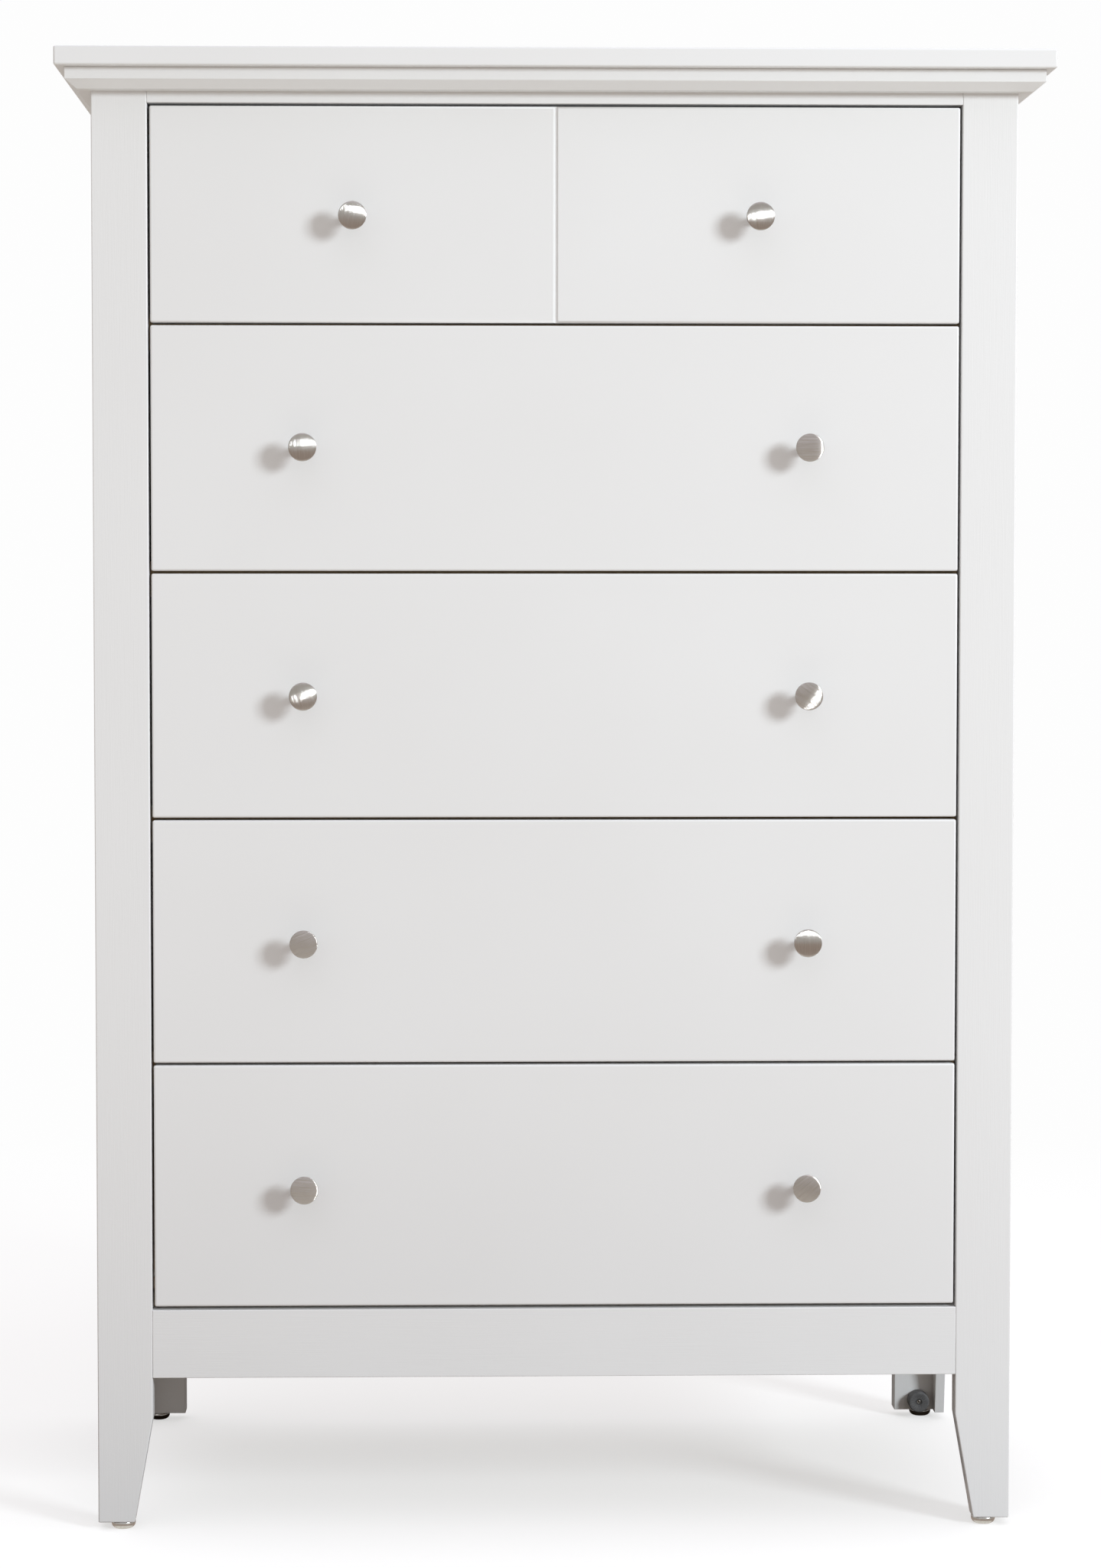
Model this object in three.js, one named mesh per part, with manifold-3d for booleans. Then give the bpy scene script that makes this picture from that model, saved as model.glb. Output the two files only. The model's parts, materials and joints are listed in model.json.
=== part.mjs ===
// A tall five-drawer chest: board-built case on tapered legs, moulded top, and five inset drawers that
// run on centre-mounted steel rails. Millimetres, +Z up, +X to the right, the drawers open towards -Y.
// The origin is at floor level, under the middle of the top panel.
import * as THREE from "three";
import { mergeVertices } from "three/addons/utils/BufferGeometryUtils.js";
import Module from "manifold-3d";

const wasm = await Module();
wasm.setup();

// ---- driving dimensions ----
const WIDTH = 813; // top panel
const DEPTH = 419;
const HEIGHT = 1219;
const TOP_THICK = 15.5;
const TOP_FRONT_OVERHANG = 28; // top panel beyond the faces of the front legs

const CASE_WIDTH = 758.5; // over the outer faces of the legs
const BOARD = 18; // legs, rails, apron and drawer fronts
const SIDE_THICK = 9;
const BACK_THICK = 3.5;
const LEG_WIDTH = 45.5;
const FOOT_WIDTH = 30; // a leg at the floor, after its taper
const TAPER_TOP = 94;
const GLIDE_HEIGHT = 6.25;
const APRON_BOTTOM = 127.25;
const APRON_HEIGHT = 56.75;

const MOULDING = { out: 19.5, height: 17, chamferOut: 9, chamferUp: 7 };

const DRAWER_COUNT = 5; // number 1 is the top one
const FRONT_HEIGHT = 200.75; // the four lower fronts
const TOP_FRONT_HEIGHT = 176;
const BOTTOM_GAP = 3; // apron to the lowest front
const FRONT_GAP = 2.25; // front to front, and top front to top rail
const SIDE_GAP = 2; // front to leg
const FRONT_CORNER = 2;
const GROOVE = { width: 2.5, depth: 3 }; // the false split down the top front

const DIVIDER = { above: 8, below: 21.5, behind: 1.5 }; // rail around a joint between two fronts
const REAR_RAIL_HEIGHT = 40;

const BOX = { halfWidth: 320, wall: 12, length: 326.5, lift: 10.5, topDrop: 24 };
const PANEL = { thick: 5, lift: 11, inGroove: 6, slack: 0.25 }; // drawer bottom, lift from the box's lower edge
const NOTCH_HALF = 24; // cut for the steel rail through the ends of a drawer box
const RAIL = { halfBase: 9, halfLips: 14, height: 10, steel: 1.5 };
const RUNNER = { half: 18, lipTo: 12, bottom: 4, top: 13.5, steel: 1.5 };

const KNOB_SPREAD = 207; // knob to the middle of a lower front
const TOP_KNOB_SPREAD = 166; // knob to the middle of the top front
const TOP_KNOB_DROP = 3; // below the middle of the top front
const KNOB_SEGMENTS = 20;
const GLIDE = { radius: 10, fromEdge: 20, segments: 20 };
const BUMPER = { radius: 9.75, length: 12, x: 355.75, z: 16, segments: 24 };

// ---- places worked out from them ----
const HALF_CASE = CASE_WIDTH / 2;
const HALF_OPENING = HALF_CASE - LEG_WIDTH;
const HALF_INSIDE = HALF_CASE - SIDE_THICK;
const TOP_UNDERSIDE = HEIGHT - TOP_THICK;
const FRONT_FACE = -DEPTH / 2 + TOP_FRONT_OVERHANG;
const FRONT_BACK = FRONT_FACE + BOARD;
const REAR_FACE = DEPTH / 2;
const REAR_LEG_FRONT = REAR_FACE - BOARD;
const BACK_FRONT = REAR_LEG_FRONT - BACK_THICK;
const APRON_TOP = APRON_BOTTOM + APRON_HEIGHT;
const PITCH = FRONT_HEIGHT + FRONT_GAP;
const LOWEST_FRONT = APRON_TOP + BOTTOM_GAP;
const frontBottom = (n) => LOWEST_FRONT + (DRAWER_COUNT - n) * PITCH;
const frontHeight = (n) => (n === 1 ? TOP_FRONT_HEIGHT : FRONT_HEIGHT);
const railBottom = (n) => frontBottom(n) - DIVIDER.below;
const railTop = (n) => frontBottom(n) + DIVIDER.above;
const TOP_RAIL_BOTTOM = frontBottom(1) + TOP_FRONT_HEIGHT + FRONT_GAP;

// ---- finishes ----
const finish = (color, roughness, metalness = 0) => ({ color, roughness, metalness });
const WHITE_LACQUER = finish(0xf0f0ee, 0.42);
const BIRCH = finish(0xd9c29c, 0.6);
const HARDBOARD = finish(0xb08d62, 0.75);
const ZINC_STEEL = finish(0xb9bcc0, 0.35, 1);
const NICKEL = finish(0xc9c5be, 0.25, 1);
const RUBBER = finish(0x3b3d3f, 0.8);

// ---- shapes ----
function mesh(name, geometry, look) {
  const made = new THREE.Mesh(geometry, new THREE.MeshStandardMaterial(look));
  made.name = name;
  return made;
}

// A rectangular board between two corners.
function board(name, [x0, y0, z0], [x1, y1, z1], look) {
  const made = mesh(name, new THREE.BoxGeometry(x1 - x0, y1 - y0, z1 - z0), look);
  made.position.set((x0 + x1) / 2, (y0 + y1) / 2, (z0 + z1) / 2);
  return made;
}

const polygon = (points) => new THREE.Shape(points.map(([u, v]) => new THREE.Vector2(u, v)));

// An outline given in X and Z, as thick as the stretch from y0 to y1.
function faceOutline(shape, y0, y1, curveSegments = 1) {
  const made = new THREE.ExtrudeGeometry(shape, { depth: y1 - y0, bevelEnabled: false, curveSegments });
  return made.rotateX(Math.PI / 2).translate(0, y1, 0);
}

// An outline given in Y and Z, as thick as the stretch from x0 to x1.
function sideOutline(shape, x0, x1) {
  const turn = new THREE.Matrix4().makeBasis(
    new THREE.Vector3(0, 1, 0),
    new THREE.Vector3(0, 0, 1),
    new THREE.Vector3(1, 0, 0),
  );
  const made = new THREE.ExtrudeGeometry(shape, { depth: x1 - x0, bevelEnabled: false });
  return made.applyMatrix4(turn).translate(x0, 0, 0);
}

// A turned piece whose profile is given as radius and distance, standing out towards -Y from y = 0.
function turned(profile, segments) {
  const points = profile.map(([radius, out]) => new THREE.Vector2(radius, out));
  return new THREE.LatheGeometry(points, segments).rotateX(Math.PI);
}

function solidOf(geometry) {
  const bare = geometry.clone();
  bare.deleteAttribute("normal");
  bare.deleteAttribute("uv");
  const merged = mergeVertices(bare, 1e-3);
  const vertProperties = merged.attributes.position.array;
  return new wasm.Manifold(
    new wasm.Mesh({ numProp: 3, vertProperties, triVerts: new Uint32Array(merged.index.array) }),
  );
}

function geometryOf(solid) {
  const { vertProperties, triVerts } = solid.getMesh();
  const made = new THREE.BufferGeometry();
  made.setAttribute("position", new THREE.BufferAttribute(vertProperties, 3));
  made.setIndex(new THREE.BufferAttribute(triVerts, 1));
  return made;
}

function block([x0, y0, z0], [x1, y1, z1]) {
  const made = new THREE.BoxGeometry(x1 - x0, y1 - y0, z1 - z0);
  return made.translate((x0 + x1) / 2, (y0 + y1) / 2, (z0 + z1) / 2);
}

// ---- top ----
function topPanel() {
  const corner = [-WIDTH / 2, -DEPTH / 2, TOP_UNDERSIDE];
  return board("top_panel", corner, [WIDTH / 2, DEPTH / 2, HEIGHT], WHITE_LACQUER);
}

// The moulding's section: distance out from the case, and height.
function mouldingSection() {
  const { out, height, chamferOut, chamferUp } = MOULDING;
  const bottom = TOP_UNDERSIDE - height;
  return polygon([
    [0, bottom],
    [out - chamferOut, bottom],
    [out, bottom + chamferUp],
    [out, TOP_UNDERSIDE],
    [0, TOP_UNDERSIDE],
  ]);
}

// The section drawn out between two ends; each end may lean with the section to make a mitre.
function mouldingStrip(name, place) {
  const geometry = new THREE.ExtrudeGeometry(mouldingSection(), { depth: 1, bevelEnabled: false });
  const points = geometry.attributes.position;
  for (let i = 0; i < points.count; i++) {
    const [x, y] = place(points.getX(i), points.getZ(i) > 0.5);
    points.setXYZ(i, x, y, points.getY(i));
  }
  return mesh(name, geometry, WHITE_LACQUER);
}

function topMouldings() {
  const front = (out, far) => [(far ? -1 : 1) * (HALF_CASE + out), FRONT_FACE - out];
  const right = (out, far) => [HALF_CASE + out, far ? FRONT_FACE - out : REAR_FACE];
  const left = (out, far) => [-HALF_CASE - out, far ? REAR_FACE : FRONT_FACE - out];
  return [
    mouldingStrip("top_moulding_front", front),
    mouldingStrip("top_moulding_right", right),
    mouldingStrip("top_moulding_left", left),
  ];
}

// ---- case ----
const sides = [
  ["left", -1],
  ["right", 1],
];

// A front leg is a board whose inner edge tapers in to the foot.
function frontLeg([side, sign]) {
  const outline = polygon([
    [sign * (HALF_CASE - FOOT_WIDTH), GLIDE_HEIGHT],
    [sign * HALF_CASE, GLIDE_HEIGHT],
    [sign * HALF_CASE, TOP_UNDERSIDE],
    [sign * HALF_OPENING, TOP_UNDERSIDE],
    [sign * HALF_OPENING, TAPER_TOP],
  ]);
  return mesh("front_leg_" + side, faceOutline(outline, FRONT_FACE, FRONT_BACK), WHITE_LACQUER);
}

function rearLeg([side, sign]) {
  const [inner, outer] = [sign * HALF_OPENING, sign * HALF_CASE].sort((a, b) => a - b);
  const low = [inner, REAR_LEG_FRONT, GLIDE_HEIGHT];
  return board("rear_leg_" + side, low, [outer, REAR_FACE, TOP_UNDERSIDE], WHITE_LACQUER);
}

// A side panel reaches the floor behind the front leg and ahead of the rear one, with the same taper.
function sidePanel([side, sign]) {
  const outline = polygon([
    [FRONT_BACK, GLIDE_HEIGHT],
    [FRONT_FACE + FOOT_WIDTH, GLIDE_HEIGHT],
    [FRONT_FACE + LEG_WIDTH, TAPER_TOP],
    [FRONT_FACE + LEG_WIDTH, APRON_BOTTOM],
    [REAR_FACE - LEG_WIDTH, APRON_BOTTOM],
    [REAR_FACE - LEG_WIDTH, TAPER_TOP],
    [REAR_FACE - FOOT_WIDTH, GLIDE_HEIGHT],
    [REAR_LEG_FRONT, GLIDE_HEIGHT],
    [REAR_LEG_FRONT, TOP_UNDERSIDE],
    [FRONT_BACK, TOP_UNDERSIDE],
  ]);
  const x0 = sign > 0 ? HALF_INSIDE : -HALF_CASE;
  return mesh("side_panel_" + side, sideOutline(outline, x0, x0 + SIDE_THICK), WHITE_LACQUER);
}

function backPanel() {
  const edge = HALF_INSIDE - PANEL.slack;
  const low = [-edge, BACK_FRONT, APRON_BOTTOM];
  return board("back_panel", low, [edge, REAR_LEG_FRONT, TOP_UNDERSIDE], HARDBOARD);
}

// A rail across the case, from side to side at half its length.
function crossRail(name, half, y0, z0, z1, look) {
  return board(name, [-half, y0, z0], [half, y0 + BOARD, z1], look);
}

function caseRails() {
  const behind = FRONT_BACK + DIVIDER.behind;
  const rearRail = BACK_FRONT - BOARD;
  const rails = [
    crossRail("top_front_rail", HALF_OPENING, FRONT_FACE, TOP_RAIL_BOTTOM, TOP_UNDERSIDE, WHITE_LACQUER),
    crossRail("apron", HALF_OPENING, FRONT_FACE, APRON_BOTTOM, APRON_TOP, WHITE_LACQUER),
    crossRail("rear_top_rail", HALF_INSIDE, rearRail, TOP_UNDERSIDE - REAR_RAIL_HEIGHT, TOP_UNDERSIDE, BIRCH),
    crossRail("rear_bottom_rail", HALF_INSIDE, rearRail, APRON_BOTTOM, APRON_BOTTOM + REAR_RAIL_HEIGHT, BIRCH),
  ];
  for (let n = 1; n <= DRAWER_COUNT; n++) {
    const name = n === DRAWER_COUNT ? "bottom_rail" : "drawer_rail_" + n;
    rails.push(crossRail(name, HALF_INSIDE, behind, railBottom(n), railTop(n), WHITE_LACQUER));
  }
  return rails;
}

// The fixed steel rail of one drawer: a channel with lips turned outwards, on the rail below the drawer.
function centreRail(n) {
  const { halfBase, halfLips, height, steel } = RAIL;
  const right = [
    [halfBase, 0],
    [halfBase, height - steel],
    [halfLips, height - steel],
    [halfLips, height],
    [halfBase - steel, height],
    [halfBase - steel, steel],
  ];
  const left = right.map(([x, z]) => [-x, z]).reverse();
  const section = faceOutline(polygon([...right, ...left]), FRONT_BACK + DIVIDER.behind, BACK_FRONT);
  const made = mesh("centre_rail_" + n, section, ZINC_STEEL);
  made.position.z = railTop(n);
  return made;
}

function footGlides() {
  const { radius, fromEdge, segments } = GLIDE;
  const profile = [
    [0, 0],
    [radius, 0],
    [radius, 2],
    [radius - 1, 4],
    [radius - 3.5, GLIDE_HEIGHT],
    [0, GLIDE_HEIGHT],
  ];
  const rows = [
    ["front", FRONT_FACE + BOARD / 2 + 1],
    ["rear", REAR_FACE - BOARD / 2 - 1],
  ];
  return rows.flatMap(([row, y]) =>
    sides.map(([side, sign]) => {
      const made = mesh("foot_glide_" + row + "_" + side, turned(profile, segments), NICKEL);
      made.rotation.x = Math.PI / 2;
      made.position.set(sign * (HALF_CASE - fromEdge), y, GLIDE_HEIGHT);
      return made;
    }),
  );
}

function rubberBumper() {
  const { radius, length, x, z, segments } = BUMPER;
  const profile = [
    [0, 0],
    [radius, 0],
    [radius, length - 1],
    [radius - 1, length],
    [2.5, length],
    [2.5, length - 2],
    [0, length - 2],
  ];
  const made = mesh("rubber_bumper", turned(profile, segments), RUBBER);
  made.position.set(x, REAR_LEG_FRONT, z);
  return made;
}

// ---- drawers, each drawn about the lower edge of its front ----
function drawerFront(n) {
  const half = HALF_OPENING - SIDE_GAP;
  const top = frontHeight(n);
  const r = FRONT_CORNER;
  const outline = new THREE.Shape()
    .moveTo(-half + r, 0)
    .lineTo(half - r, 0)
    .absarc(half - r, r, r, -Math.PI / 2, 0)
    .lineTo(half, top - r)
    .absarc(half - r, top - r, r, 0, Math.PI / 2)
    .lineTo(-half + r, top)
    .absarc(-half + r, top - r, r, Math.PI / 2, Math.PI)
    .lineTo(-half, r)
    .absarc(-half + r, r, r, Math.PI, 1.5 * Math.PI);
  const plain = faceOutline(outline, FRONT_FACE, FRONT_BACK, 3);
  if (n > 1) return mesh("drawer_front_" + n, plain, WHITE_LACQUER);
  const { width, depth } = GROOVE;
  const cutter = block([-width / 2, FRONT_FACE - 1, -1], [width / 2, FRONT_FACE + depth, top + 1]);
  return mesh("drawer_front_" + n, geometryOf(solidOf(plain).subtract(solidOf(cutter))), WHITE_LACQUER);
}

// Four walls; the ends are notched for the steel rail, and a groove all round holds the bottom.
function drawerBox(n) {
  const { halfWidth, wall, length, lift, topDrop } = BOX;
  const [low, high] = [lift, frontHeight(n) - topDrop];
  const [y0, y1] = [FRONT_BACK, FRONT_BACK + length];
  const notchTop = low + PANEL.lift;
  const end = polygon([
    [-halfWidth, low],
    [-NOTCH_HALF, low],
    [-NOTCH_HALF, notchTop],
    [NOTCH_HALF, notchTop],
    [NOTCH_HALF, low],
    [halfWidth, low],
    [halfWidth, high],
    [-halfWidth, high],
  ]);
  const walls = [
    faceOutline(end, y0, y0 + wall),
    faceOutline(end, y1 - wall, y1),
    block([-halfWidth, y0, low], [-halfWidth + wall, y1, high]),
    block([halfWidth - wall, y0, low], [halfWidth, y1, high]),
  ].map(solidOf);
  const joined = walls.reduce((whole, wallSolid) => whole.add(wallSolid));
  const { thick, lift: panelLift, inGroove, slack } = PANEL;
  const edge = wall - inGroove - slack;
  const groove = block(
    [-halfWidth + edge, y0 + edge, low + panelLift - slack],
    [halfWidth - edge, y1 - edge, low + panelLift + thick + slack],
  );
  return mesh("drawer_box_" + n, geometryOf(joined.subtract(solidOf(groove))), BIRCH);
}

function drawerBottom(n) {
  const edge = BOX.wall - PANEL.inGroove;
  const [half, z] = [BOX.halfWidth - edge, BOX.lift + PANEL.lift];
  const low = [-half, FRONT_BACK + edge, z];
  return board("drawer_bottom_" + n, low, [half, FRONT_BACK + BOX.length - edge, z + PANEL.thick], BIRCH);
}

// The moving steel runner: it wraps round the lips of the fixed rail.
function drawerRunner(n) {
  const { half, lipTo, bottom, top, steel } = RUNNER;
  const right = [
    [half, top],
    [half, bottom],
    [lipTo, bottom],
    [lipTo, bottom + steel],
    [half - steel, bottom + steel],
    [half - steel, top - steel],
  ];
  const left = right.map(([x, z]) => [-x, z]).reverse();
  const section = polygon([...right, ...left].reverse());
  const [y0, y1] = [FRONT_BACK + BOX.wall, FRONT_BACK + BOX.length - BOX.wall];
  const made = mesh("drawer_runner_" + n, faceOutline(section, y0, y1), ZINC_STEEL);
  made.position.z = DIVIDER.above;
  return made;
}

function knob(name, x, z) {
  const profile = [
    [0, 0],
    [6, 0],
    [6, 1.25],
    [4.25, 3],
    [4, 13.5],
    [6, 16],
    [10.5, 18.5],
    [11.5, 19.75],
    [11.5, 21.5],
    [10.75, 22.5],
    [7, 23.5],
    [0, 24],
  ];
  const made = mesh(name, turned(profile, KNOB_SEGMENTS), NICKEL);
  made.position.set(x, FRONT_FACE, z);
  return made;
}

function drawer(n) {
  const spread = n === 1 ? TOP_KNOB_SPREAD : KNOB_SPREAD;
  const knobHeight = frontHeight(n) / 2 - (n === 1 ? TOP_KNOB_DROP : 0);
  const whole = new THREE.Group();
  whole.position.z = frontBottom(n);
  whole.add(
    drawerFront(n),
    drawerBox(n),
    drawerBottom(n),
    drawerRunner(n),
    knob("knob_left_" + n, -spread, knobHeight),
    knob("knob_right_" + n, spread, knobHeight),
  );
  return whole;
}

// ---- the chest ----
const chest = new THREE.Group();
chest.add(topPanel(), ...topMouldings(), backPanel(), ...caseRails(), ...footGlides(), rubberBumper());
for (const side of sides) chest.add(frontLeg(side), rearLeg(side), sidePanel(side));
for (let n = 1; n <= DRAWER_COUNT; n++) chest.add(centreRail(n), drawer(n));

export default chest;
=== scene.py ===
import json
from math import cos, pi, radians, sin

import bmesh
import bpy
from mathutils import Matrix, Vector

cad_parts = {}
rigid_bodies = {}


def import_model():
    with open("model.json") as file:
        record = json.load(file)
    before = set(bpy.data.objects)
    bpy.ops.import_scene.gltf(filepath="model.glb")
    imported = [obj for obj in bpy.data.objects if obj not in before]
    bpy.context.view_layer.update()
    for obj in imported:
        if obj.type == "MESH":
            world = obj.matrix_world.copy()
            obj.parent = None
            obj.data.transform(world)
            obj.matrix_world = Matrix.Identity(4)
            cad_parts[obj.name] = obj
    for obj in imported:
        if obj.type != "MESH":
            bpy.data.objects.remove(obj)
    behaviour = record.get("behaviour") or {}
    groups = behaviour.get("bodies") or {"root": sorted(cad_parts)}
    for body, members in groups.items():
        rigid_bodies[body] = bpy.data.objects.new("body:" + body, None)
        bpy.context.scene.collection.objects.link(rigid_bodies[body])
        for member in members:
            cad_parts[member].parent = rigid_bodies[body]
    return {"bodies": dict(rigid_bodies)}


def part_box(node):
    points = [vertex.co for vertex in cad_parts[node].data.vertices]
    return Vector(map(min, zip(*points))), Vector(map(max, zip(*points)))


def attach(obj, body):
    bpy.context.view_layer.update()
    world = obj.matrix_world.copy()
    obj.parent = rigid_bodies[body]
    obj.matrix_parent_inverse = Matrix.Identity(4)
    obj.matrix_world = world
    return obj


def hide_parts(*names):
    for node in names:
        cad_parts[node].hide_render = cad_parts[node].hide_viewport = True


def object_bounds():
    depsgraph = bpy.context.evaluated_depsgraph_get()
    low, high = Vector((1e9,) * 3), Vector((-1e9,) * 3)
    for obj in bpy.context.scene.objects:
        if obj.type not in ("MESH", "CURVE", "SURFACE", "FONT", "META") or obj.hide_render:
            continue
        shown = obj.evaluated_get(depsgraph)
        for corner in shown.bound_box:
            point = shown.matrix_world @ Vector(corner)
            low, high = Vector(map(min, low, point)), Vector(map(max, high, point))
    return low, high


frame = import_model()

# The looks of a tall white chest of drawers, in metres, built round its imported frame.
# Places and outer sizes come from the frame. The sizes here are the maker's small ones.
MM = 0.001
CAD_LOW, CAD_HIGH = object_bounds()
DRAWERS = range(1, len([body for body in frame["bodies"] if body.startswith("drawer_")]) + 1)
SIDES = (("left", -1), ("right", 1))

TOP_EASE = 1.5 * MM  # rounding along the edges of the top
BOARD_EASE = 1.0 * MM  # legs, hidden rails and corner blocks
PANEL_EASE = 0.6 * MM  # case sides, top rail and apron
MOULDING_EASE = 0.5 * MM
SHEET_EASE = 0.4 * MM  # hardboard, drawer bottoms and folded steel
FRONT_EASE = 1.6 * MM  # drawer fronts
BOX_TOP_EASE = 1.2 * MM  # the upper edges of a drawer box
SPLIT = {"half_width": 2.0 * MM, "half_floor": 0.75 * MM, "depth": 1.5 * MM}  # the groove down the top front
TAPER_TOP = 94 * MM  # where the feet begin to taper
STEEL = 1.5 * MM  # sheet that the drawer rails and runners are folded from
BOX_WALL = 12 * MM

TAILS = 5  # dovetails at each corner of a drawer box
TAIL_ROOT, TAIL_END = 0.27, 0.36  # half of a tail's height, as a share of the space from tail to tail
JOINT_GAP = 0.06 * MM


# ---- mesh code ----
def across(axis, place, outline):
    """The points of a flat outline that lies across an axis, at a place along it."""
    at = "xyz".index(axis)
    return [(*point[:at], place, *point[at:]) for point in outline]


def rectangle(u0, v0, u1, v1):
    return [(u0, v0), (u1, v0), (u1, v1), (u0, v1)]


def loft(rings, shape=None):
    """A closed solid through matching rings of points, with a face over each end."""
    shape = shape or bmesh.new()
    loops = [[shape.verts.new(point) for point in ring] for ring in rings]
    for near, far in zip(loops, loops[1:]):
        for i, corner in enumerate(near):
            after = (i + 1) % len(near)
            shape.faces.new((corner, near[after], far[after], far[i]))
    shape.faces.new(loops[0])
    shape.faces.new(loops[-1])
    return shape


def prism(axis, start, end, outline, shape=None):
    """A flat outline made solid along an axis."""
    return loft([across(axis, start, outline), across(axis, end, outline)], shape)


def block(low, high, shape=None):
    return prism("z", low[2], high[2], rectangle(low[0], low[1], high[0], high[1]), shape)


def frame_of(direction):
    """Three unit vectors: two across a direction, and the direction."""
    along = Vector(direction).normalized()
    first = along.orthogonal().normalized()
    return first, along.cross(first), along


def turned(profile, centre, direction, segments, shape=None):
    """A turned solid. Its profile gives (radius, distance along the direction), from the axis to the axis."""
    shape = shape or bmesh.new()
    first, second, along = frame_of(direction)
    rings = []
    for radius, distance in profile:
        middle = Vector(centre) + along * distance
        if radius == 0:
            rings.append([shape.verts.new(middle)])
            continue
        turns = [2 * pi * i / segments for i in range(segments)]
        points = [middle + (first * cos(turn) + second * sin(turn)) * radius for turn in turns]
        rings.append([shape.verts.new(point) for point in points])
    for near, far in zip(rings, rings[1:]):
        for i in range(segments):
            after = (i + 1) % segments
            if len(near) == 1:
                corners = (near[0], far[after], far[i])
            elif len(far) == 1:
                corners = (near[i], near[after], far[0])
            else:
                corners = (near[i], near[after], far[after], far[i])
            shape.faces.new(corners).smooth = True
    return shape


def arc(centre, radius, start, end, steps):
    """Points (u, v) of an arc, with its angles in degrees."""
    angles = [radians(start + (end - start) * i / steps) for i in range(steps + 1)]
    return [(centre[0] + radius * cos(angle), centre[1] + radius * sin(angle)) for angle in angles]


def ease(shape, width, chosen=lambda middle: True, segments=3, sharpest=20):
    """Rounds the sharp edges whose middle is chosen."""
    bmesh.ops.recalc_face_normals(shape, faces=shape.faces)
    edges = [
        edge
        for edge in shape.edges
        if edge.calc_face_angle(0) > radians(sharpest) and chosen((edge.verts[0].co + edge.verts[1].co) / 2)
    ]
    made = bmesh.ops.bevel(
        shape, geom=edges, offset=width, segments=segments, profile=0.5, affect="EDGES", clamp_overlap=True
    )
    for face in made["faces"]:
        face.smooth = True
    return shape


def object_of(name, shape):
    """A new object at the origin, from a mesh in the making."""
    bmesh.ops.recalc_face_normals(shape, faces=shape.faces)
    mesh = bpy.data.meshes.new(name)
    shape.to_mesh(mesh)
    shape.free()
    made = bpy.data.objects.new(name, mesh)
    bpy.context.scene.collection.objects.link(made)
    return made


def plain_mesh(made):
    """The object's mesh as its modifiers leave it."""
    bpy.context.view_layer.update()
    return bpy.data.meshes.new_from_object(made.evaluated_get(bpy.context.evaluated_depsgraph_get()))


def carve(shape, *cutters):
    """The shape with each cutter taken out of it."""
    body = object_of("carved", shape)
    tools = [object_of("cutter", cutter) for cutter in cutters]
    for tool in tools:
        cut = body.modifiers.new("cut", "BOOLEAN")
        cut.operation = "DIFFERENCE"
        cut.solver = "EXACT"
        cut.object = tool
    carved = bmesh.new()
    carved.from_mesh(plain_mesh(body))
    for used in (body, *tools):
        bpy.data.objects.remove(used)
    return carved


def settle(made, finish, body, replaces=()):
    """Gives a finished object its material, its body, and what it stands for."""
    made.data.materials.clear()
    made.data.materials.append(finish)
    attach(made, body)
    if replaces:
        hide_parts(*replaces)
    return made


def piece(name, shape, finish, body="case", replaces=()):
    return settle(object_of(name, shape), finish, body, replaces)


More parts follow.
